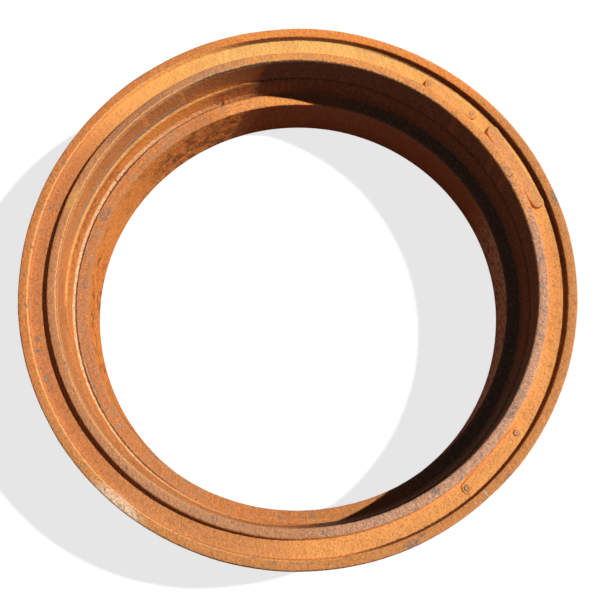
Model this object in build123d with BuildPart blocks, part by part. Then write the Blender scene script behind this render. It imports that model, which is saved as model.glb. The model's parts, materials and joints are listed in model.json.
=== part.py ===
from build123d import *
import os
from math import cos, radians, sin

os.makedirs("parts", exist_ok=True)

# A cast-iron manhole ring, standing the way it is set in the street: one casting, turned about Z.
# The origin is the centre of its bottom edge, and the photograph was taken from the -Y side.

# Driving dimensions, in millimetres and degrees

# Heights
lower_wall_height = 114.3
seat_depth = 114.3
band_depth = 14.5
lip_rise = 9.5
flange_thickness = 16.0
shoulder_drop = 6.0
shoulder_length = 34.0
seat_foot_rise = 11.0
pocket_taper_rise = 34.0
pocket_step_rise = 2.5

# Radial sizes, from the opening outwards
clear_opening_diameter = 762.0
seat_width = 23.5
seat_foot_run = 3.5
pocket_taper_run = 3.5
pocket_step_run = 3.0
rim_width = 17.5
rim_draft = 1.5
band_width = 30.0
lip_draft = 3.2
lip_width = 15.9
flange_edge_draft = 1.5
lower_wall_thickness = 18.0
lower_wall_draft = 3.0
upper_wall_thickness = 18.5

# Rounded corners
foot_corner = 3.0
opening_corner = 2.0
seat_edge_corner = 2.5
step_corner = 0.8
pocket_mouth_corner = 3.5
rim_corner = 3.0
band_corner = 2.5
lip_inner_corner = 1.5
lip_outer_corner = 3.0
flange_under_corner = 2.5
flange_root_corner = 12.0
shoulder_corner = 10.0

# Plain raised pads on the band, each lying across a radius
long_pad_length = 174.0
long_pad_width = 24.0
long_pad_angle = 29.1
short_pad_length = 114.0
short_pad_width = 21.0
short_pad_angle = 51.3
pad_rise = 6.5
pad_inset = 8.5
plate_length = 143.0
plate_width = 22.0
plate_angle = 316.8
plate_rise = 2.5
plate_inset = 10.5
pad_draft_angle = 12.0
pad_root = 2.0
stud_diameter = 10.0
stud_rise = 2.0
stud_end_gap = 4.0

# Heights and radii that follow from the sizes above
seat_z = lower_wall_height
seat_foot_z = seat_z + seat_foot_rise
pocket_taper_z = seat_foot_z + pocket_taper_rise
pocket_step_z = pocket_taper_z + pocket_step_rise
top_z = seat_z + seat_depth
band_z = top_z - band_depth
lip_z = band_z + lip_rise
flange_under_z = band_z - flange_thickness
shoulder_top_z = seat_z - shoulder_drop
shoulder_foot_z = shoulder_top_z - shoulder_length

opening_r = clear_opening_diameter / 2
seat_r = opening_r + seat_width
seat_foot_r = seat_r + seat_foot_run
pocket_taper_r = seat_foot_r + pocket_taper_run
pocket_r = pocket_taper_r + pocket_step_run
rim_r = pocket_r + rim_width
band_inner_r = rim_r + rim_draft
band_outer_r = band_inner_r + band_width
lip_inner_r = band_outer_r + lip_draft
lip_outer_r = lip_inner_r + lip_width
flange_r = lip_outer_r + flange_edge_draft
lower_wall_r = opening_r + lower_wall_thickness
shoulder_foot_r = lower_wall_r + lower_wall_draft
upper_wall_r = pocket_r + upper_wall_thickness

# Each corner of the section: radius from the axis, height, and how round the corner is
section_corners = [
    (opening_r, 0, opening_corner),
    (opening_r, seat_z, seat_edge_corner),
    (seat_r, seat_z, 0),
    (seat_foot_r, seat_foot_z, 0),
    (pocket_taper_r, pocket_taper_z, step_corner),
    (pocket_r, pocket_step_z, 0),
    (pocket_r, top_z, pocket_mouth_corner),
    (rim_r, top_z, rim_corner),
    (band_inner_r, band_z, band_corner),
    (band_outer_r, band_z, band_corner),
    (lip_inner_r, lip_z, lip_inner_corner),
    (lip_outer_r, lip_z, lip_outer_corner),
    (flange_r, flange_under_z, flange_under_corner),
    (upper_wall_r, flange_under_z, flange_root_corner),
    (upper_wall_r, shoulder_top_z, shoulder_corner),
    (shoulder_foot_r, shoulder_foot_z, shoulder_corner),
    (lower_wall_r, 0, foot_corner),
]

# Each pad: length, width, the angle it lies at, how far its middle is from the rim, its height
pads = [
    (long_pad_length, long_pad_width, long_pad_angle, pad_inset, pad_rise),
    (short_pad_length, short_pad_width, short_pad_angle, pad_inset, pad_rise),
    (plate_length, plate_width, plate_angle, plate_inset, plate_rise),
]
stud_spacing = plate_length - 2 * stud_end_gap - stud_diameter


def on_the_band(inset, angle):
    """A place on the band, this far out from the rim, with its X axis across the radius."""
    radius = band_inner_r + inset
    return Location((radius * cos(radians(angle)), radius * sin(radians(angle))), angle + 90)


with BuildPart() as ring_casting:
    # The turned casting: lower wall, seat, pocket, rim, band, lip and the skirt outside
    with BuildSketch(Plane.XZ):
        with BuildLine():
            FilletPolyline(
                *[(r, z) for r, z, corner in section_corners],
                radius=[corner for r, z, corner in section_corners],
                close=True,
            )
        make_face()
    revolve(axis=Axis.Z)

    # Raised pads cast on the band, the two taller ones running into the rim
    for length, width, angle, inset, rise in pads:
        with BuildSketch(Plane.XY.offset(band_z - pad_root)):
            with Locations(on_the_band(inset, angle)):
                SlotOverall(length, width)
        extrude(amount=pad_root + rise, taper=pad_draft_angle)

    # Round studs, one near each end of the thin plate
    with BuildSketch(Plane.XY.offset(band_z)):
        with Locations(on_the_band(plate_inset, plate_angle)):
            with GridLocations(stud_spacing, 0, 2, 1):
                Circle(stud_diameter / 2)
    extrude(amount=plate_rise + stud_rise)

print("casting volume, m3:", ring_casting.part.volume / 1e9)
print("size, mm:", ring_casting.part.bounding_box().size)
ring_casting.part.label = "ring_casting"
export_step(ring_casting.part, "parts/ring_casting.step")
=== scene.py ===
import json
from math import atan2, cos, degrees, hypot, pi, radians, sin

import bmesh
import bpy
from mathutils import Matrix, Vector


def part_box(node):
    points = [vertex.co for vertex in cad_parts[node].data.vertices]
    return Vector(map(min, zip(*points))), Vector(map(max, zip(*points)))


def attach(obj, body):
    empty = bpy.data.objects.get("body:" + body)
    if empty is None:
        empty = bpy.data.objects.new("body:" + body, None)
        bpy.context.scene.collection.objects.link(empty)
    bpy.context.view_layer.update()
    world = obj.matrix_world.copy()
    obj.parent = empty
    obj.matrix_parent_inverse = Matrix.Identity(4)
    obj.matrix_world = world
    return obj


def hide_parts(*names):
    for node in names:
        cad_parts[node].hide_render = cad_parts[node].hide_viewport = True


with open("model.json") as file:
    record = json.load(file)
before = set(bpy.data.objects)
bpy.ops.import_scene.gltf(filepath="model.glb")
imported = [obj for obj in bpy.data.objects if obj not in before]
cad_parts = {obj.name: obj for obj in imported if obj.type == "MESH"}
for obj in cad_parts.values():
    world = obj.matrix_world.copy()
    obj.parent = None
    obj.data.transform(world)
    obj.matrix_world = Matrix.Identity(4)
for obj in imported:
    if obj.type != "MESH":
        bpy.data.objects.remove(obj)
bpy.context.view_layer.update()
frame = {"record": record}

# How the ring is seen: it lies on a plain pale floor under one key light, high on the right,
# and an even white studio. The camera looks steeply down on it from the front.

PHOTO_WIDTH = 600
FOCAL_PIXELS = 1072.6
CAMERA_PLACE = Vector((0.004, -0.472, 2.014))
CAMERA_TILT = radians(13.85)
FLOOR_SIZE = 30.0
KEY_AZIMUTH = radians(10)
KEY_ELEVATION = radians(50.5)
KEY_STRENGTH = 3.75
KEY_SOFTNESS = radians(1.2)
STUDIO_LEVEL = 0.06
PALE_FLOOR = (0.2, 0.2, 0.2, 1)
SHADED_FLOOR = (0.25, 0.25, 0.25, 1)
FLOOR_GLOW = 0.78

scene = bpy.context.scene
scene.view_settings.view_transform = "Standard"

camera_data = bpy.data.cameras.new("camera")
camera_data.lens = FOCAL_PIXELS / PHOTO_WIDTH * camera_data.sensor_width
camera = bpy.data.objects.new("camera", camera_data)
camera.location = CAMERA_PLACE
camera.rotation_euler = (CAMERA_TILT, 0, 0)
scene.collection.objects.link(camera)
scene.camera = camera


def add_node(tree, kind, inputs=None, **settings):
    """A new node with its settings, and each named input given a link or a plain value."""
    node = tree.nodes.new(kind)
    for name, value in settings.items():
        setattr(node, name, value)
    for key, value in (inputs or {}).items():
        if isinstance(value, bpy.types.NodeSocket):
            tree.links.new(value, node.inputs[key])
        else:
            node.inputs[key].default_value = value
    return node


def calculate(tree, operation, *values):
    """One step of arithmetic on links or plain numbers."""
    return add_node(tree, "ShaderNodeMath", dict(enumerate(values)), operation=operation).outputs[0]


def pale_floor():
    """A matt floor that the camera sees as white, with the object's shadow left faintly on it."""
    material = bpy.data.materials.new("pale_floor")
    material.use_nodes = True
    tree = material.node_tree
    tree.nodes.clear()
    seen = add_node(tree, "ShaderNodeLightPath").outputs["Is Camera Ray"]
    pale = add_node(tree, "ShaderNodeBsdfDiffuse", {"Color": PALE_FLOOR})
    shaded = add_node(tree, "ShaderNodeBsdfDiffuse", {"Color": SHADED_FLOOR})
    glow = add_node(tree, "ShaderNodeEmission", {"Color": (1, 1, 1, 1), "Strength": FLOOR_GLOW})
    white = add_node(tree, "ShaderNodeAddShader", {0: shaded.outputs[0], 1: glow.outputs[0]})
    either = add_node(tree, "ShaderNodeMixShader", {0: seen, 1: pale.outputs[0], 2: white.outputs[0]})
    add_node(tree, "ShaderNodeOutputMaterial", {"Surface": either.outputs[0]})
    return material


bpy.ops.mesh.primitive_plane_add(size=FLOOR_SIZE, location=(0, 0, 0))
floor = bpy.context.object
floor.name = "floor"
floor.data.materials.append(pale_floor())

key_data = bpy.data.lights.new("key_light", "SUN")
key_data.energy = KEY_STRENGTH
key_data.angle = KEY_SOFTNESS
key_light = bpy.data.objects.new("key_light", key_data)
towards_key = Vector((cos(KEY_AZIMUTH) * cos(KEY_ELEVATION), sin(KEY_AZIMUTH) * cos(KEY_ELEVATION),
                      sin(KEY_ELEVATION)))
key_light.rotation_mode = "QUATERNION"
key_light.rotation_quaternion = towards_key.to_track_quat("Z", "Y")
scene.collection.objects.link(key_light)

studio = bpy.data.worlds.new("studio")
scene.world = studio
studio.use_nodes = True
studio.node_tree.nodes.clear()
path = add_node(studio.node_tree, "ShaderNodeLightPath")
seen = calculate(studio.node_tree, "MAXIMUM", path.outputs["Is Camera Ray"], path.outputs["Is Glossy Ray"])
seen = calculate(studio.node_tree, "MAXIMUM", seen, path.outputs["Is Transmission Ray"])
level = calculate(studio.node_tree, "MULTIPLY_ADD", seen, 1 - STUDIO_LEVEL, STUDIO_LEVEL)
white = add_node(studio.node_tree, "ShaderNodeBackground", {"Color": (1, 1, 1, 1), "Strength": level})
add_node(studio.node_tree, "ShaderNodeOutputWorld", {"Surface": white.outputs[0]})

# The ring casting: one piece of sand-cast grey iron, left to rust in the yard.
# Its section is turned about the axis: lower wall, seat, pocket, rim, band, lip and the skirt.
# Only the seat was machined, so its foot is a ragged line where the tool ran out into the raw skin.

NODE = "ring_casting"
MM = 0.001
mounts = {mount["name"]: mount for mount in frame["record"]["mounts"]}
node_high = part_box(NODE)[1]
opening_r = mounts["clear_opening"]["dims"]["r_mm"] * MM
pocket_r = mounts["cover_pocket"]["dims"]["r_mm"] * MM
seat_z = mounts["cover_seat"]["pos_m"][2]
flange_under_z = mounts["flange_underside"]["pos_m"][2]
flange_r = node_high.x
top_z = node_high.z

SEAT_WIDTH = 23.5 * MM
FOOT_WIDTH = 3.5 * MM
FOOT_HEIGHT = 11 * MM
TAPER_HEIGHT = 34 * MM
STEP_WIDTH = 3 * MM
STEP_HEIGHT = 2.5 * MM
RIM_WIDTH = 17.5 * MM
RIM_SLOPE = 1.5 * MM
BAND_WIDTH = 30 * MM
BAND_DEPTH = 14.5 * MM
LIP_SLOPE = 3.2 * MM
LIP_HEIGHT = 9.5 * MM
FLANGE_SLOPE = 1.5 * MM
UPPER_WALL_THICKNESS = 18.5 * MM
LOWER_WALL_THICKNESS = 18 * MM
SHOULDER_BELOW_SEAT = 6 * MM
SHOULDER_HEIGHT = 34 * MM
SHOULDER_FOOT_WIDTH = 3 * MM

seat_r = opening_r + SEAT_WIDTH
seat_foot_r = seat_r + FOOT_WIDTH
pocket_taper_r = pocket_r - STEP_WIDTH
seat_foot_z = seat_z + FOOT_HEIGHT
pocket_taper_z = seat_foot_z + TAPER_HEIGHT
pocket_step_z = pocket_taper_z + STEP_HEIGHT
rim_r = pocket_r + RIM_WIDTH
band_inner_r = rim_r + RIM_SLOPE
band_outer_r = band_inner_r + BAND_WIDTH
lip_inner_r = band_outer_r + LIP_SLOPE
lip_outer_r = flange_r - FLANGE_SLOPE
band_z = top_z - BAND_DEPTH
lip_z = band_z + LIP_HEIGHT
upper_wall_r = pocket_r + UPPER_WALL_THICKNESS
lower_wall_r = opening_r + LOWER_WALL_THICKNESS
shoulder_top_z = seat_z - SHOULDER_BELOW_SEAT
shoulder_foot_z = shoulder_top_z - SHOULDER_HEIGHT
shoulder_foot_r = lower_wall_r + SHOULDER_FOOT_WIDTH

# Each corner of the section: radius, height, and how round the corner is in millimetres
section_corners = [
    (opening_r, 0, 2),
    (opening_r, seat_z, 2.5),
    (seat_r, seat_z, 0.6),
    (seat_foot_r, seat_foot_z, 1.5),
    (pocket_taper_r, pocket_taper_z, 0.8),
    (pocket_r, pocket_step_z, 0.6),
    (pocket_r, top_z, 3.5),
    (rim_r, top_z, 3),
    (band_inner_r, band_z, 2.5),
    (band_outer_r, band_z, 2.5),
    (lip_inner_r, lip_z, 1.5),
    (lip_outer_r, lip_z, 3),
    (flange_r, flange_under_z, 2.5),
    (upper_wall_r, flange_under_z, 12),
    (upper_wall_r, shoulder_top_z, 10),
    (shoulder_foot_r, shoulder_foot_z, 10),
    (lower_wall_r, 0, 3),
]

# The section is drawn about a point this far from the axis, and turned in this many steps
SWEEP_R = 0.43
STEPS_ROUND = 740

section = bpy.data.curves.new("ring_section", "CURVE")
outline = section.splines.new("POLY")
outline.points.add(len(section_corners) - 1)
for point, (r, z, corner) in zip(outline.points, section_corners):
    point.co = (r - SWEEP_R, -z, 0, 1)
    point.radius = corner * MM
outline.use_cyclic_u = True
rough_ring = bpy.data.objects.new("rough_ring", section)
scene.collection.objects.link(rough_ring)

# The raised pads on the band: cast in one with the ring, with round ends and a rounded foot.
# Two tall ones run into the rim. The shorter of them and the thin third one have round rivet
# heads near their ends.

LONG_PAD_ANGLE = 29.1
SHORT_PAD_ANGLE = 51.3
THIN_PAD_ANGLE = 316.8

# Length, width, angle, distance of the middle from the rim and rise, in mm and degrees,
# then the rise of the rivet heads, 0 where there are none
PADS = [
    (174, 24, LONG_PAD_ANGLE, 8.5, 6.5, 0),
    (114, 21, SHORT_PAD_ANGLE, 8.5, 6.5, 0.9),
    (143, 22, THIN_PAD_ANGLE, 10.5, 2.5, 2),
]
PAD_ROOT = 2 * MM
PAD_WELD_GAP = 0.00002
RIVET_R = 5 * MM
RIVET_END_GAP = 4 * MM

# A rivet head's section from its root to the dimple on top: shares of its radius and of its rise
RIVET_HEAD = [(0.5, -1.0), (1.0, -0.4), (1.0, 0.55), (0.82, 0.95), (0.5, 1.0), (0.3, 0.85), (0.12, 0.5)]


def add_shell(mesh, rings):
    """Joins rings of as many points each into one closed skin, the first and last ring closed up."""
    rows = [[mesh.verts.new(p) for p in ring] for ring in rings]
    for low, high in zip(rows, rows[1:]):
        for i in range(len(low)):
            j = (i + 1) % len(low)
            mesh.faces.new((low[i], low[j], high[j], high[i]))
    for row in (rows[0][::-1], rows[-1]):
        count = len(row)
        for i in range(count // 2 - 1):
            mesh.faces.new((row[i], row[i + 1], row[count - 2 - i], row[count - 1 - i]))


def obround(half_straight, radius, height, place, along=26, around=14):
    """Points round a long pad's outline at one height, moved to its place on the band."""
    points = []
    for side in (1, -1):
        for i in range(along):
            points.append((side * half_straight * (2 * i / along - 1), -side * radius))
        for i in range(around):
            turn = -side * pi / 2 + pi * i / around
            points.append((side * half_straight + radius * cos(turn), radius * sin(turn)))
    return [place @ Vector((x, y, height)) for x, y in points]


pads_mesh = bmesh.new()
for length, width, angle, inset, rise, rivet_rise in PADS:
    place = (Matrix.Rotation(radians(angle), 4, "Z")
             @ Matrix.Translation((band_inner_r + inset * MM, 0, band_z))
             @ Matrix.Rotation(radians(90), 4, "Z"))
    half_width, top = width / 2 * MM, rise * MM
    half_straight = length / 2 * MM - half_width
    lean = -0.2 * top

    # The rows of the pad's skin, from its root to its top: how far outside its edge, and how high
    rows = [(-8 * MM, -PAD_ROOT), (-2 * MM, -PAD_ROOT), (2.2 * MM, -0.4 * MM), (1.0 * MM, 0.25 * MM),
            (0.3 * MM, 1.1 * MM), (lean, top - 1.1 * MM), (lean - 0.5 * MM, top - 0.3 * MM),
            (lean - 1.3 * MM, top)]
    rows += [(-share * half_width, top) for share in (0.35, 0.65, 0.93)]
    add_shell(pads_mesh, [obround(half_straight, half_width + out, h, place) for out, h in rows])
    if rivet_rise:
        for side in (1, -1):
            from_middle = side * (length / 2 * MM - RIVET_END_GAP - RIVET_R)
            middle = place @ Matrix.Translation((from_middle, 0, top))
            add_shell(pads_mesh, [
                obround(0, RIVET_R * r, rivet_rise * MM * h, middle, along=1, around=11)
                for r, h in RIVET_HEAD])
bmesh.ops.remove_doubles(pads_mesh, verts=pads_mesh.verts, dist=PAD_WELD_GAP)
bmesh.ops.recalc_face_normals(pads_mesh, faces=pads_mesh.faces)
pads_data = bpy.data.meshes.new("rough_pads")
pads_mesh.to_mesh(pads_data)
pads_mesh.free()
rough_pads = bpy.data.objects.new("rough_pads", pads_data)
scene.collection.objects.link(rough_pads)

# The outside of the wall under the flange shows little, so its steps along the section are longer.
# It lies past this slanting line, which runs between the wall's two faces.
HIDDEN_LEAN = 0.17
HIDDEN_FROM = -0.037
WELD_GAP = 0.00005

# The skin's unevenness: slow waves, sand grain, and lumps along the ragged foot, as far as they reach.
# Close to the floor it fades out, so that the ring stands flat.
WAVE_SCALE = 9.0
SAND_SCALE = 110.0
RAGGED_SCALE = 170.0
RAGGED_REACH = 8 * MM
FLAT_REACH = 6 * MM


def turned_casting(material):
    """Rounds the section's corners, turns it about the axis, adds the pads and roughens the skin."""
    tree = bpy.data.node_groups.new("turned_casting", "GeometryNodeTree")
    for name, kind in (("Section", "Geometry"), ("Pads", "Object"), ("Turning Radius", "Float"),
                       ("Steps Round", "Int"), ("Step Along", "Float"), ("Hidden Step Along", "Float"),
                       ("Waviness", "Float"), ("Sand Roughness", "Float"), ("Foot Height", "Float"),
                       ("Foot Raggedness", "Float"), ("Crisp Angle", "Float")):
        tree.interface.new_socket(name, in_out="INPUT", socket_type="NodeSocket" + kind)
    tree.interface.new_socket("Casting", in_out="OUTPUT", socket_type="NodeSocketGeometry")
    given = tree.nodes.new("NodeGroupInput").outputs
    place = add_node(tree, "GeometryNodeInputPosition").outputs[0]

    corner = add_node(tree, "GeometryNodeInputRadius").outputs[0]
    rounded = add_node(tree, "GeometryNodeFilletCurve", {
        "Curve": given["Section"], "Count": 3, "Radius": corner, "Limit Radius": True}, mode="POLY")

    following = add_node(tree, "GeometryNodeOffsetPointInCurve", {"Offset": 1}).outputs["Point Index"]
    next_place = add_node(tree, "GeometryNodeFieldAtIndex", {"Index": following, "Value": place},
                          data_type="FLOAT_VECTOR").outputs[0]
    gap = add_node(tree, "ShaderNodeVectorMath", {0: place, 1: next_place}, operation="DISTANCE")
    across = add_node(tree, "ShaderNodeSeparateXYZ", {0: place})
    slanted = calculate(tree, "MULTIPLY_ADD", across.outputs["Y"], HIDDEN_LEAN, across.outputs["X"])
    outside = calculate(tree, "GREATER_THAN", slanted, HIDDEN_FROM)
    under_flange = calculate(tree, "GREATER_THAN", across.outputs["Y"], -flange_under_z - 1 * MM)
    hidden = calculate(tree, "MULTIPLY", outside, under_flange)
    step = add_node(tree, "GeometryNodeSwitch", {
        "Switch": hidden, "False": given["Step Along"], "True": given["Hidden Step Along"]},
        input_type="FLOAT").outputs[0]
    cuts = calculate(tree, "FLOOR", calculate(tree, "DIVIDE", gap.outputs["Value"], step))
    divided = add_node(tree, "GeometryNodeSubdivideCurve", {
        "Curve": rounded.outputs["Curve"], "Cuts": cuts})

    circle = add_node(tree, "GeometryNodeCurvePrimitiveCircle", {
        "Resolution": given["Steps Round"], "Radius": given["Turning Radius"]})
    level = add_node(tree, "GeometryNodeSetCurveNormal", {"Curve": circle.outputs["Curve"]}, mode="Z_UP")
    turned = add_node(tree, "GeometryNodeCurveToMesh", {
        "Curve": level.outputs["Curve"], "Profile Curve": divided.outputs["Curve"]})
    welded = add_node(tree, "GeometryNodeMergeByDistance", {
        "Geometry": turned.outputs["Mesh"], "Distance": WELD_GAP})
    pads = add_node(tree, "GeometryNodeObjectInfo", {"Object": given["Pads"]})
    joined = add_node(tree, "GeometryNodeMeshBoolean", operation="UNION", solver="MANIFOLD")
    tree.links.new(welded.outputs[0], joined.inputs["Mesh 2"])
    tree.links.new(pads.outputs["Geometry"], joined.inputs["Mesh 2"])

    wave = add_node(tree, "ShaderNodeTexNoise", {"Vector": place, "Scale": WAVE_SCALE, "Detail": 1.0})
    sand = add_node(tree, "ShaderNodeTexNoise", {"Vector": place, "Scale": SAND_SCALE, "Detail": 3.0})
    ragged = add_node(tree, "ShaderNodeTexNoise", {
        "Vector": place, "Scale": RAGGED_SCALE, "Detail": 2.0})
    height = add_node(tree, "ShaderNodeSeparateXYZ", {0: place}).outputs["Z"]
    from_foot = calculate(tree, "ABSOLUTE", calculate(tree, "SUBTRACT", height, given["Foot Height"]))
    near_foot = calculate(tree, "SUBTRACT", 1.0, calculate(tree, "DIVIDE", from_foot, RAGGED_REACH))
    near_foot = calculate(tree, "MAXIMUM", near_foot, 0.0)
    off_floor = add_node(tree, "ShaderNodeMapRange", {
        "Value": height, "From Max": FLAT_REACH}).outputs[0]
    waves = calculate(tree, "SUBTRACT", wave.outputs[0], 0.5)
    push = calculate(tree, "MULTIPLY", waves, given["Waviness"])
    grains = calculate(tree, "SUBTRACT", sand.outputs[0], 0.5)
    push = calculate(tree, "MULTIPLY_ADD", grains, given["Sand Roughness"], push)
    lumps = calculate(tree, "SUBTRACT", ragged.outputs[0], 0.5)
    lump_height = calculate(tree, "MULTIPLY", near_foot, given["Foot Raggedness"])
    push = calculate(tree, "MULTIPLY_ADD", lumps, lump_height, push)
    push = calculate(tree, "MULTIPLY", push, off_floor)
    facing = add_node(tree, "GeometryNodeInputNormal").outputs[0]
    offset = add_node(tree, "ShaderNodeVectorMath", {0: facing, "Scale": push}, operation="SCALE")
    roughened = add_node(tree, "GeometryNodeSetPosition", {
        "Geometry": joined.outputs["Mesh"], "Offset": offset.outputs[0]})
    smooth = add_node(tree, "GeometryNodeSetShadeSmooth", {"Geometry": roughened.outputs[0]})
    bend = add_node(tree, "GeometryNodeInputMeshEdgeAngle").outputs["Unsigned Angle"]
    crisp = add_node(tree, "FunctionNodeCompare", {0: bend, 1: given["Crisp Angle"]},
                     data_type="FLOAT", operation="GREATER_THAN").outputs[0]
    crisped = add_node(tree, "GeometryNodeSetShadeSmooth", {
        "Geometry": smooth.outputs[0], "Selection": crisp, "Shade Smooth": False}, domain="EDGE")
    real = add_node(tree, "GeometryNodeRealizeInstances", {"Geometry": crisped.outputs[0]})
    finished = add_node(tree, "GeometryNodeSetMaterial", {
        "Geometry": real.outputs[0], "Material": material})
    add_node(tree, "NodeGroupOutput", {"Casting": finished.outputs[0]})
    return tree


def grown_mesh(rough, tree, name, given):
    """Runs the tree on a rough object with these sizes, and keeps the result as a plain mesh."""
    maker = rough.modifiers.new("maker", "NODES")
    maker.node_group = tree
    for item in tree.interface.items_tree:
        if item.item_type == "SOCKET" and item.in_out == "INPUT" and item.name in given:
            maker[item.identifier] = given[item.name]
    graph = bpy.context.evaluated_depsgraph_get()
    mesh = bpy.data.meshes.new_from_object(rough.evaluated_get(graph))
    bpy.data.objects.remove(rough)
    finished = bpy.data.objects.new(name, mesh)
    mesh.name = name
    scene.collection.objects.link(finished)
    return finished


class Coat:
    """A finish built up in layers, each a colour and the masks that say where on the ring it lies."""

    # Angles go round from the right, 0, by the back, 90, and the left, 180, to the front, 270.
    # No layer ends in a clean line: its edges wander by so much, and the marks' edges are shaken more.
    WANDER = 3.0 * MM
    WANDER_SCALE = 150.0
    SHAKE = 7 * MM
    SHAKE_SCALE = 210.0

    def __init__(self, name, colour):
        self.material = bpy.data.materials.new(name)
        self.material.use_nodes = True
        self.tree = self.material.node_tree
        self.tree.nodes.clear()
        self.colour = colour
        self.place = self.node("ShaderNodeTexCoord").outputs["Object"]
        split = self.node("ShaderNodeSeparateXYZ", {0: self.place})
        self.x, self.y, height = split.outputs["X"], split.outputs["Y"], split.outputs["Z"]
        self.out = self.math("SQRT", self.math("ADD", self.math("MULTIPLY", self.x, self.x),
                                               self.math("MULTIPLY", self.y, self.y)))
        noise = self.node("ShaderNodeTexNoise", {
            "Vector": self.place, "Scale": self.WANDER_SCALE, "Detail": 2.0})
        wander = self.math("MULTIPLY", self.math("SUBTRACT", noise.outputs["Fac"], 0.5), self.WANDER)
        self.r = self.math("ADD", self.out, wander)
        self.z = self.math("ADD", height, wander)
        self.cosine = self.math("DIVIDE", self.x, self.out)
        self.sine = self.math("DIVIDE", self.y, self.out)
        shake = self.node("ShaderNodeTexNoise", {
            "Vector": self.place, "Scale": self.SHAKE_SCALE, "Detail": 3.0})
        shaken = self.node("ShaderNodeVectorMath", {
            0: shake.outputs["Color"], 1: (self.SHAKE,) * 3, 2: (-self.SHAKE / 2,) * 3},
            operation="MULTIPLY_ADD")
        self.shaken_place = self.node("ShaderNodeVectorMath", {
            0: self.place, 1: shaken.outputs[0]}).outputs[0]

    def node(self, kind, inputs=None, **settings):
        """A new node in the coat's own tree."""
        return add_node(self.tree, kind, inputs, **settings)

    def math(self, operation, *values):
        """One step of arithmetic in the coat's own tree."""
        return calculate(self.tree, operation, *values)

    def step(self, value, low, high):
        """0 below low and 1 above high, with a soft slope between them."""
        return self.node("ShaderNodeMapRange", {"Value": value, "From Min": low, "From Max": high},
                         interpolation_type="SMOOTHSTEP").outputs[0]

    def below(self, value, low, high):
        """1 below low and 0 above high."""
        return self.math("SUBTRACT", 1.0, self.step(value, low, high))

    def graded(self, mask, gain, base):
        """An even strength with so much more where the mask is 1, or so much less if gain is negative."""
        return self.math("MULTIPLY_ADD", mask, gain, base)

    def band(self, value, low, high, soft):
        """1 between low and high, and softly 0 outside."""
        return self.math("SUBTRACT", self.step(value, low - soft, low + soft),
                         self.step(value, high - soft, high + soft))

    def within(self, radii, heights, soft=0.6 * MM):
        """1 between two radii and two heights."""
        return self.math("MULTIPLY", self.band(self.r, *radii, soft), self.band(self.z, *heights, soft))

    def facing(self, angle):
        """The cosine of how far round the ring a place is from an angle."""
        return self.math("ADD", self.math("MULTIPLY", self.cosine, cos(radians(angle))),
                         self.math("MULTIPLY", self.sine, sin(radians(angle))))

    def leaning(self, angle, start, end, slope):
        """The same cosine with the way from start to end added, so that an edge drawn by it leans."""
        return self.math("MULTIPLY_ADD", self.math("SUBTRACT", end, start), slope, self.facing(angle))

    def side(self, angle, full, none):
        """1 within so many degrees of an angle round the ring, and 0 beyond some more."""
        return self.step(self.facing(angle), cos(radians(none)), cos(radians(full)))

    def noise(self, size, low=0.35, high=0.65, detail=3.0, roughness=0.55):
        """Noise with features of about this size, from 0 to 1 between two levels of the raw noise."""
        raw = self.node("ShaderNodeTexNoise", {
            "Vector": self.place, "Scale": 1 / size, "Detail": detail, "Roughness": roughness})
        return self.step(raw.outputs["Fac"], low, high)

    def streaks(self, along, across, low=0.4, high=0.6, detail=3.0):
        """Noise drawn out round the ring, with streaks of this length and width."""
        turn = self.node("ShaderNodeCombineXYZ", {
            0: self.math("MULTIPLY", self.cosine, pocket_r / along),
            1: self.math("MULTIPLY", self.sine, pocket_r / along),
            2: self.math("DIVIDE", self.z, across)})
        raw = self.node("ShaderNodeTexNoise", {
            "Vector": turn.outputs[0], "W": self.math("DIVIDE", self.r, across), "Scale": 1.0,
            "Detail": detail, "Roughness": 0.6}, noise_dimensions="4D")
        return self.step(raw.outputs["Fac"], low, high)

    def spots(self, marks, soft=0.35):
        """1 on each ragged mark: its angle, radius, half length round the ring and half width, in mm."""
        most = 0.0
        for angle, radius, along, across in marks:
            turn = radians(angle)
            middle = Vector((radius * MM * cos(turn), radius * MM * sin(turn), 0))
            local = self.node("ShaderNodeMapping", {
                "Vector": self.shaken_place, "Location": middle, "Rotation": (0, 0, turn),
                "Scale": (across * MM, along * MM, 1000)}, vector_type="TEXTURE")
            away = self.node("ShaderNodeVectorMath", {0: local.outputs[0]}, operation="LENGTH")
            near = self.below(away.outputs["Value"], 1 - soft, 1 + soft)
            most = self.math("MAXIMUM", near, most)
        return most

    def all_of(self, *masks):
        """What all the masks have in common."""
        result = masks[0]
        for mask in masks[1:]:
            result = self.math("MULTIPLY", result, mask)
        return result

    def mixed(self, amount, below, above):
        """One colour, more of the other as the amount goes from 0 to 1."""
        node = self.node("ShaderNodeMix", data_type="RGBA")
        colour_sockets = [socket for socket in node.inputs if socket.type == "RGBA"]
        for socket, value in zip((node.inputs["Factor"], *colour_sockets), (amount, below, above)):
            if isinstance(value, bpy.types.NodeSocket):
                self.tree.links.new(value, socket)
            else:
                socket.default_value = (*value, 1) if isinstance(value, tuple) else value
        return next(socket for socket in node.outputs if socket.type == "RGBA")

    def lay(self, colour, *masks):
        """Lays a colour over what is there, as far as all the masks let it."""
        self.colour = self.mixed(self.all_of(*masks), self.colour, colour)


# The finish: bare iron rusted in the open, never painted or oiled. Each face has a rust of its own,
# and grey skin, grit, dirt and marks of handling lie on it, with painted shade, shadows and highlights.

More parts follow.
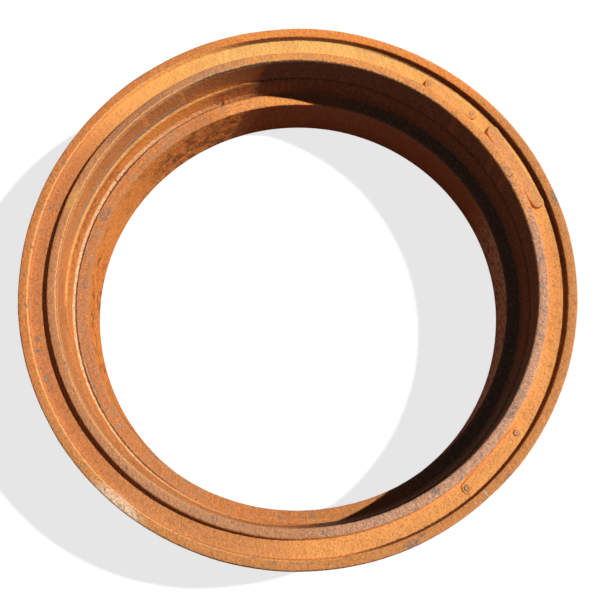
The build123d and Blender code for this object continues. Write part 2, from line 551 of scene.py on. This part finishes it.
SKIRT_RUST = (0.58, 0.24, 0.08)
LOWER_WALL_RUST = (0.98, 0.275, 0.046)
SEAT_RUST = (0.58, 0.215, 0.065)
TAPER_RUST = (0.76, 0.24, 0.055)
UPPER_WALL_RUST = (0.74, 0.25, 0.074)
RIM_RUST = (0.64, 0.28, 0.122)
BAND_RUST = (0.93, 0.395, 0.11)
LIP_RUST = (0.68, 0.258, 0.076)
# Painted shade for the right side of the pocket
POCKET_PAINTED_SHADE = (0.175, 0.064, 0.033)
GREY_SKIN = (0.42, 0.33, 0.23)
GREY_STREAK = (0.26, 0.19, 0.13)
GREY_PATCH = (0.3, 0.27, 0.25)
GREY_SCUFF = (0.25, 0.185, 0.145)
WHITE_GRIT = (0.95, 0.82, 0.72)
CREAM_GRIT = (1.0, 0.8, 0.58)
PALE_FLAKE = (0.98, 0.7, 0.47)

# Marks of handling on the top and the seat, each with its angle and radius,
# its half length round the ring and its half width, in degrees and mm
FLAKES = [(231.7, 475, 46, 9)]
YELLOW_PATCH = [(159, 424, 24, 8)]
SCUFFS = [
    (192.4, 457, 6, 4), (195, 459, 5, 5), (198.6, 462, 3, 3), (201.1, 458, 7, 5), (203.7, 457, 6, 4),
    (195, 418, 5, 2), (200.5, 418, 12, 1.8), (222.6, 421, 5, 2), (228.2, 426, 2, 5), (251, 420, 7, 3.4),
    (255.4, 419, 4, 2.5), (275.6, 422, 3, 4), (302.7, 421, 9, 4.5), (328.4, 424, 14, 5),
    (27.3, 424, 2.5, 5), (292.9, 477, 14, 6), (295.6, 472, 6, 3), (316.4, 481, 12, 3),
    (18.8, 478, 16, 5), (155.8, 393, 16, 8), (265.4, 394, 4.5, 3.2), (266.8, 395, 3, 2.5),
    (273.6, 391, 5.5, 5), (152, 470, 7, 3), (172, 469, 5, 3), (178, 472, 6, 3), (185, 468, 4, 3),
    (176, 392, 9, 5), (162, 459, 5, 4), (168, 461, 4, 3)]
BARE_NICK = [(310.9, 475, 1.1, 7)]
DARK_PITS = [(110.5, 406, 3.2, 2.4), (146.5, 406.5, 2, 2)]

# The finest relief, too fine for the mesh: lumps and sand grains, and how deep they go
LUMP_SCALE = 170.0
GRAIN_SCALE = 480.0
RELIEF_DEPTH = 1.1 * MM


def weathered_rust():
    """Rust in the colours of each face, mottled and grained, with scuffs, grey skin and pale grit, and
    painted shade, shadows and highlights.
    """
    coat = Coat("weathered_rust", (0.42, 0.16, 0.055))
    large = coat.noise(36 * MM, 0.36, 0.66)
    medium = coat.noise(14 * MM, 0.38, 0.64)
    blotches = coat.noise(26 * MM, 0.52, 0.62, detail=9.0, roughness=0.74)
    dark_mottle = coat.noise(17 * MM, 0.49, 0.6, detail=6.0, roughness=0.72)
    fine_mottle = coat.noise(11 * MM, 0.46, 0.6, detail=6.0, roughness=0.76)
    grit = coat.noise(2.4 * MM, 0.56, 0.64, detail=2.5, roughness=0.8)
    dark_grit = coat.noise(3.4 * MM, 0.54, 0.62, detail=2.5, roughness=0.8)
    specks = coat.noise(5 * MM, 0.6, 0.68, detail=3.0, roughness=0.7)

    # The outside skirt and the underside: duller brown, never rubbed
    coat.lay(SKIRT_RUST, large)
    coat.lay((0.2, 0.085, 0.05), dark_mottle, 0.5)
    coat.lay((0.3, 0.11, 0.05), coat.streaks(9 * MM, 80 * MM, 0.5, 0.7), 0.3)

    # The lower wall: bright orange under dark brown blotches and runs
    lower = coat.within((opening_r - 9 * MM, opening_r + 3 * MM), (1 * MM, seat_z - 2 * MM))
    coat.lay(LOWER_WALL_RUST, lower)
    coat.lay((1.0, 0.39, 0.08), lower, medium, 0.55)
    coat.lay((0.2, 0.05, 0.016), lower, blotches, 0.85)
    coat.lay((0.22, 0.055, 0.016), lower, coat.noise(24 * MM, 0.48, 0.56, detail=8.0, roughness=0.72),
             coat.side(119, 10, 22), 0.7)
    coat.lay((0.3, 0.075, 0.02), lower, dark_mottle, 0.35)
    coat.lay((0.25, 0.07, 0.03), lower, coat.streaks(7 * MM, 45 * MM, 0.54, 0.7), 0.3)
    # Painted shadow on the lower wall: an edge that leans like the key light's cast shadow
    shade_edge = coat.leaning(8, coat.z, seat_z, 0.9)
    coat.lay((1.0, 0.35, 0.075), lower, coat.side(152, 8, 16), 0.5)
    coat.lay((0.29, 0.06, 0.017), lower, coat.step(shade_edge, -0.135, -0.112), 0.85)
    # Painted shade over the right side of the lower wall
    coat.lay((0.37, 0.122, 0.054), lower, coat.side(15, 55, 92), 0.85)
    coat.lay((0.85, 0.5, 0.33), lower, coat.side(355, 18, 36), coat.noise(9 * MM, 0.36, 0.58), 0.85)
    coat.lay((0.34, 0.25, 0.19), lower, specks, coat.side(10, 45, 75), 0.6)

    # The seat: machined, so smoother, with grey streaks and scuffs drawn out round the ring
    seat = coat.within((opening_r - 1 * MM, seat_r + 3 * MM), (seat_z - 2.6 * MM, seat_z + 2 * MM))
    coat.lay(SEAT_RUST, seat)
    coat.lay((0.68, 0.25, 0.07), seat, medium, 0.7)
    coat.lay((1.0, 0.38, 0.09), seat, coat.side(95, 12, 21), 0.95)
    coat.lay((0.5, 0.215, 0.09), seat, coat.side(186, 12, 28), 0.6)
    coat.lay((0.5, 0.23, 0.095), seat, coat.side(228, 12, 24), 0.5)
    coat.lay(GREY_STREAK, seat, coat.streaks(110 * MM, 2.6 * MM, 0.54, 0.62), coat.side(160, 50, 62), 0.75)
    coat.lay((0.3, 0.13, 0.05), seat, coat.streaks(90 * MM, 2.2 * MM, 0.56, 0.66), 0.4)
    coat.lay((0.95, 0.45, 0.14), seat, coat.streaks(70 * MM, 2.2 * MM, 0.57, 0.67), 0.5)
    coat.lay((0.46, 0.25, 0.13), seat, coat.noise(22 * MM, 0.5, 0.62), coat.side(178, 60, 90), 0.6)

    # The pocket's tapered wall: orange, with small dark mottles thickest under the step
    wall_radii = (pocket_r - 40 * MM, pocket_r + 2.5 * MM)
    taper = coat.within(wall_radii, (seat_foot_z - 1 * MM, pocket_taper_z))
    taper = coat.all_of(taper, coat.step(coat.r, opening_r + 14 * MM, opening_r + 17 * MM))
    under_step = coat.graded(coat.step(coat.z, seat_foot_z + 8 * MM, seat_foot_z + 18 * MM), 0.5, 0.3)
    coat.lay(TAPER_RUST, taper)
    coat.lay((0.92, 0.34, 0.075), taper, medium, 0.5)
    coat.lay((0.26, 0.07, 0.022), taper, fine_mottle, under_step, coat.side(125, 40, 60))
    coat.lay((1.0, 0.35, 0.072), taper, coat.side(128, 12, 17), 0.8)
    coat.lay((0.36, 0.1, 0.03), taper, coat.step(coat.z, pocket_taper_z - 14 * MM, pocket_taper_z - 7 * MM),
             coat.side(149, 8, 18), 0.5)

    # The ragged foot: cream grit in lumps, with painted shade in the crevice below it
    foot = coat.within((seat_r - 2 * MM, pocket_r), (seat_z + 2.2 * MM, seat_foot_z + 1 * MM), 1.2 * MM)
    coat.lay((0.95, 0.43, 0.14), foot)
    coat.lay(CREAM_GRIT, foot, coat.noise(6 * MM, 0.47, 0.56), coat.side(180, 42, 58), 0.8)
    coat.lay((1.0, 0.7, 0.42), foot, coat.noise(4 * MM, 0.5, 0.58), 0.6)
    coat.lay((0.3, 0.1, 0.035), foot, coat.noise(8 * MM, 0.59, 0.66), 0.6)
    crevice = coat.within((seat_r - 1.6 * MM, seat_r + 2.5 * MM), (seat_z - 2 * MM, seat_z + 2.4 * MM))
    # Painted shade in the crevice, on the side turned away from the key light
    coat.lay((0.05, 0.02, 0.012), crevice, coat.side(185, 44, 60), 0.88)
    coat.lay((0.3, 0.1, 0.03), crevice, coat.side(115, 18, 30), 0.5)

    # The upper wall: smooth brown, under painted shade on the right
    upper = coat.within(wall_radii, (pocket_step_z, top_z - 3 * MM))
    coat.lay(UPPER_WALL_RUST, upper)
    coat.lay((0.84, 0.3, 0.088), upper, large, 0.5)
    coat.lay((0.62, 0.205, 0.065), upper, coat.streaks(30 * MM, 14 * MM, 0.45, 0.65), 0.5)
    coat.lay((0.4, 0.13, 0.05), upper, coat.streaks(6 * MM, 60 * MM, 0.5, 0.7), 0.3)
    coat.lay((0.92, 0.33, 0.09), upper, coat.side(166, 5, 14), 0.5)
    coat.lay((0.9, 0.6, 0.42), upper, specks, coat.side(123, 2, 4.5), 0.8)

    # Runs down the upper wall, where water has dripped from the rim
    for angle, strength in ((120.6, 1.0), (132, 0.9), (143.5, 0.15)):
        coat.lay((1.0, 0.345, 0.085), upper, coat.side(angle, 0.4, 0.85), strength)

    # The step between the two walls: a bright worn edge, partly a painted highlight kept to the lit side,
    # and above it a strip of bare grey skin
    worn_step_and_painted_highlight = coat.within(wall_radii, (pocket_taper_z - 4 * MM, pocket_step_z + 0.8 * MM))
    worn_step_and_painted_highlight = coat.all_of(worn_step_and_painted_highlight, coat.step(coat.r, seat_foot_r, seat_foot_r + 2 * MM),
                            coat.side(146, 34, 40))
    coat.lay((1.0, 0.42, 0.105), worn_step_and_painted_highlight, coat.graded(coat.noise(9 * MM, 0.4, 0.6), 0.35, 0.6))
    grey_top = coat.graded(coat.noise(24 * MM, 0.3, 0.7), 7 * MM, pocket_step_z + 6.5 * MM)
    above_grey = coat.math("SUBTRACT", coat.z, grey_top)
    grey = coat.below(above_grey, -1 * MM, 1.5 * MM)
    coat.lay((0.95, 0.35, 0.095), coat.band(above_grey, 0, 5 * MM, 1.5 * MM), upper,
             coat.side(139, 15, 21), 0.6)
    coat.lay(GREY_SKIN, grey, upper, coat.side(143, 19, 27), 0.95)

    # The right side of the pocket: painted shade, nearly black, its edge leaning like the key light's
    # shadow
    pocket = coat.within(wall_radii, (seat_z + 1.5 * MM, top_z - 3 * MM))
    shade_line = coat.leaning(8, coat.z, top_z, 0.76)
    # A painted half-shade beside the edge of the painted shade
    coat.lay((0.42, 0.125, 0.04), pocket, coat.side(8, 93, 110), 0.6)
    # The painted shade, nearly black, out to its leaning edge
    coat.lay(POCKET_PAINTED_SHADE, pocket, coat.step(shade_line, -0.02, 0.03), 0.94)
    # More painted shade on the front right of the pocket
    coat.lay((0.1, 0.062, 0.045), pocket, coat.side(306, 24, 42), 0.8)
    # A bright strip on the upper wall where the key light first reaches it: partly wear, partly painted
    # light
    worn_wall_and_painted_light = coat.below(coat.z, pocket_step_z + 8 * MM, pocket_step_z + 22 * MM)
    coat.lay((1.0, 0.36, 0.07), worn_wall_and_painted_light, upper, coat.side(112.5, 4, 8.5), 0.9)
    # Painted shadow on the seat, its edge where the key light's shadow crosses it, and painted shade, near
    # black, over its right side
    seat_shadow_line = coat.leaning(10, opening_r, coat.r, 12.8)
    ledge = coat.math("MAXIMUM", seat, crevice)
    coat.lay((0.23, 0.1, 0.06), ledge, coat.step(seat_shadow_line, 0.27, 0.32), 0.92)
    coat.lay((0.12, 0.1, 0.086), ledge, coat.side(8, 52, 77), 0.88)
    # Faint runs down the upper wall within the painted shade
    for angle in (28, 33.5, 47):
        coat.lay((0.5, 0.13, 0.04), upper, coat.side(angle, 0.2, 1.3), 0.5)

    # The rim: brown under grey and white grit, more orange towards the back
    rim = coat.within((pocket_r - 0.5 * MM, band_inner_r), (top_z - 3.2 * MM, top_z + 4 * MM))
    coat.lay(RIM_RUST, rim)
    coat.lay((0.8, 0.41, 0.25), rim, coat.side(335, 40, 66), 0.6)
    coat.lay((1.0, 0.375, 0.085), rim, coat.side(60, 34, 54))
    coat.lay((0.65, 0.24, 0.078), rim, coat.side(172, 32, 58), 0.85)
    coat.lay((0.45, 0.175, 0.07), rim, coat.side(134, 5, 13), 0.7)
    coat.lay((0.45, 0.2, 0.11), rim, medium, 0.3)
    gritty = coat.graded(coat.side(335, 44, 70), 0.55, 0.2)
    coat.lay(WHITE_GRIT, rim, grit, gritty)
    coat.lay((0.24, 0.14, 0.1), rim, dark_grit, gritty)
    coat.lay(GREY_PATCH, rim, coat.noise(14 * MM, 0.55, 0.64, detail=5.0), coat.side(335, 40, 66), 0.55)

    # The pocket's mouth: two worn lines with a browner one between, and painted shade, nearly black, on the
    # back right
    mouth_top = coat.within((pocket_r + 1.8 * MM, pocket_r + 4 * MM),
                            (top_z - 2 * MM, top_z + 2 * MM), 0.4 * MM)
    mouth_low = coat.within((pocket_r - 1.5 * MM, pocket_r + 1.4 * MM),
                            (top_z - 6.5 * MM, top_z - 2.6 * MM), 0.5 * MM)
    mouth_between = coat.within((pocket_r - 1 * MM, pocket_r + 3 * MM), (top_z - 5 * MM, top_z), 0.5 * MM)
    coat.lay((0.5, 0.2, 0.08), mouth_between, coat.side(165, 60, 85), 0.7)
    coat.lay((1.0, 0.45, 0.14), mouth_top, coat.side(165, 60, 85), 0.75)
    coat.lay((0.98, 0.5, 0.2), mouth_low, coat.side(165, 60, 85), 0.75)
    # Painted shade on the back right of the mouth
    coat.lay((0.09, 0.065, 0.05), mouth_between, coat.side(84, 26, 40), 0.88)

    # The band: the brightest orange, going brown on the left
    band = coat.within((rim_r - 3 * MM, lip_inner_r), (band_z - 3 * MM, top_z - 3 * MM))
    coat.lay(BAND_RUST, band)
    coat.lay((0.82, 0.32, 0.09), band, coat.side(358, 8, 20), 0.6)
    coat.lay((1.0, 0.48, 0.125), band, coat.side(74, 44, 68))
    coat.lay((1.0, 0.55, 0.165), band, coat.side(90, 14, 30), 0.8)
    coat.lay((0.64, 0.216, 0.07), band, coat.side(203, 48, 70))
    coat.lay((0.72, 0.3, 0.1), band, coat.side(248, 12, 24), 0.6)
    coat.lay((0.74, 0.275, 0.08), band, large, 0.3)
    plain_band = coat.math("MULTIPLY", band, coat.side(90, 45, 70))
    mottled_band = coat.math("SUBTRACT", band, plain_band)
    coat.lay((0.5, 0.21, 0.09), mottled_band, coat.noise(13 * MM, 0.55, 0.72, detail=5.0), 0.35)
    coat.lay((0.36, 0.16, 0.08), band, coat.noise(7 * MM, 0.56, 0.66, detail=4.0),
             coat.side(205, 45, 60), 0.5)

    # Painted shadow along the foot of the rim on the left and, on the right, along the foot of the lip,
    # where their shadows fall on the band
    rim_foot_painted_shadow = coat.within((rim_r - 1 * MM, band_inner_r + 1.5 * MM),
                           (band_z - 2 * MM, band_z + 4 * MM), 1 * MM)
    coat.lay((0.22, 0.08, 0.035), rim_foot_painted_shadow, coat.side(200, 55, 75), 0.8)
    for width, angle, full, none in ((4.5, 38, 24, 42), (1.2, 15, 84, 98)):
        lip_foot_painted_shadow = coat.within((band_outer_r - width * MM, lip_inner_r + 0.2 * MM),
                               (band_z - 2 * MM, lip_z - 0.8 * MM), 0.7 * MM)
        coat.lay((0.12, 0.042, 0.022), lip_foot_painted_shadow, coat.side(angle, full, none), 0.88)

    # The two tall pads: browner tops than the band round them, and painted shade along their bases
    pad_top_r = (band_inner_r + 1.2 * MM, band_outer_r - 1.5 * MM)
    pad_side_r = (band_inner_r + 3.5 * MM, band_outer_r - 1.5 * MM)
    pad_base_painted_shade = coat.all_of(coat.within(pad_side_r, (band_z + 1.4 * MM, band_z + 4.4 * MM), 0.5 * MM),
                             coat.side(38.5, 23, 26))
    pad_tops = coat.within(pad_top_r, (band_z + 4.6 * MM, band_z + 10 * MM), 0.6 * MM)
    coat.lay((0.3, 0.1, 0.04), pad_base_painted_shade, 0.85)
    coat.lay((0.85, 0.36, 0.13), pad_tops, coat.side(LONG_PAD_ANGLE, 11, 13), 0.85)
    coat.lay((0.96, 0.42, 0.12), pad_tops, coat.side(SHORT_PAD_ANGLE, 8, 9.5), 0.8)
    coat.lay((0.56, 0.24, 0.1), pad_tops, coat.noise(5 * MM, 0.5, 0.66, detail=4.0), 0.4)

    # The outer lip: sandier brown, with a painted highlight on its inner edge on the left, which faces the
    # key light, and scuffs on top
    lip = coat.within((lip_inner_r - 1 * MM, flange_r + 4 * MM), (lip_z - 1.6 * MM, top_z))
    coat.lay(LIP_RUST, lip)
    coat.lay((1.0, 0.315, 0.062), lip, coat.side(77, 22, 42))
    coat.lay((0.72, 0.215, 0.05), lip, coat.side(157, 35, 58), 0.85)
    coat.lay((0.8, 0.34, 0.11), lip, medium, 0.3)
    coat.lay((0.44, 0.23, 0.11), lip, coat.noise(12 * MM, 0.52, 0.66, detail=5.0),
             coat.graded(coat.side(70, 45, 70), -0.35, 0.5))
    lip_edge = coat.within((lip_outer_r - 1 * MM, flange_r + 4 * MM), (flange_under_z, lip_z - 1.6 * MM))
    coat.lay((0.6, 0.22, 0.065), lip_edge, 0.8)
    painted_lip_highlight = coat.within((lip_inner_r - 1.2 * MM, lip_inner_r + 0.8 * MM),
                            (band_z + 4 * MM, top_z), 0.4 * MM)
    coat.lay((1.0, 0.5, 0.17), painted_lip_highlight, coat.side(198, 75, 95), 0.8)

    # Marks of handling: pale flakes, a yellow patch, grey scuffs, a bare nick and two dark pits
    coat.lay(PALE_FLAKE, coat.spots(FLAKES, 0.55), coat.noise(4.5 * MM, 0.35, 0.5, detail=4.0), 0.95)
    coat.lay((0.8, 0.38, 0.1), coat.spots(YELLOW_PATCH, 0.3), 0.75)
    coat.lay(GREY_SCUFF, coat.spots(SCUFFS), coat.noise(4 * MM, 0.38, 0.52), 0.85)
    coat.lay((0.62, 0.57, 0.52), coat.spots(BARE_NICK, 0.2), 0.9)
    coat.lay((0.15, 0.04, 0.02), coat.spots(DARK_PITS, 0.3), 0.85)

    # The rivet heads: a painted shadow ring round their roots, and worn tops
    for length, _, angle, inset, rise, rivet_rise in PADS:
        if rivet_rise:
            out = band_inner_r / MM + inset
            along = length / 2 - (RIVET_END_GAP + RIVET_R) / MM
            apart = degrees(atan2(along, out))
            reach = hypot(along, out)
            pad_top = band_z + rise * MM
            rivet_shadow_ring = coat.spots([(angle + side * apart, reach, 6.2, 6.2) for side in (1, -1)], 0.25)
            coat.lay((0.36, 0.13, 0.05), rivet_shadow_ring, band, 0.3 * rivet_rise)
            heads = coat.spots([(angle + side * apart, reach, 3.8, 3.8) for side in (1, -1)], 0.3)
            coat.lay((0.6, 0.36, 0.22), heads, coat.step(coat.z, pad_top, pad_top + 0.6 * MM),
                     0.4 + 0.2 * rivet_rise)

    # Sand grain over everything, finest on the plain part of the band
    sandy = coat.graded(plain_band, -0.6, 1.0)
    coat.lay((0.22, 0.07, 0.025), coat.noise(3.0 * MM, 0.46, 0.74, detail=2.0, roughness=0.7), 0.4, sandy)
    coat.lay((1.0, 0.58, 0.27), coat.noise(2.5 * MM, 0.55, 0.76, detail=2.0, roughness=0.7), 0.36, sandy)
    coat.lay((0.2, 0.07, 0.03), coat.noise(6 * MM, 0.53, 0.64, detail=5.0, roughness=0.85), 0.3, sandy)
    coat.lay((1.0, 0.56, 0.22), coat.noise(5 * MM, 0.55, 0.65, detail=5.0, roughness=0.85), 0.26, sandy)

    lumps = coat.node("ShaderNodeTexNoise", {"Vector": coat.place, "Scale": LUMP_SCALE, "Detail": 3.0})
    grains = coat.node("ShaderNodeTexNoise", {"Vector": coat.place, "Scale": GRAIN_SCALE, "Detail": 3.0})
    relief = coat.math("MULTIPLY_ADD", lumps.outputs["Fac"], 2.0, grains.outputs["Fac"])
    bump = coat.node("ShaderNodeBump", {"Height": relief, "Strength": 1.0, "Distance": RELIEF_DEPTH})
    shader = coat.node("ShaderNodeBsdfPrincipled", {
        "Base Color": coat.colour, "Roughness": 0.9, "Specular IOR Level": 0.2,
        "Normal": bump.outputs["Normal"]})
    coat.node("ShaderNodeOutputMaterial", {"Surface": shader.outputs[0]})
    return coat.material


casting = grown_mesh(rough_ring, turned_casting(weathered_rust()), "ring_casting_surface", {
    "Pads": rough_pads, "Turning Radius": SWEEP_R, "Steps Round": STEPS_ROUND, "Step Along": 6.5 * MM,
    "Hidden Step Along": 14 * MM, "Waviness": 2.0 * MM, "Sand Roughness": 0.8 * MM,
    "Foot Height": seat_z + 5 * MM, "Foot Raggedness": 3.4 * MM, "Crisp Angle": radians(40)})
bpy.data.objects.remove(rough_pads)
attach(casting, "root")
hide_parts(NODE)
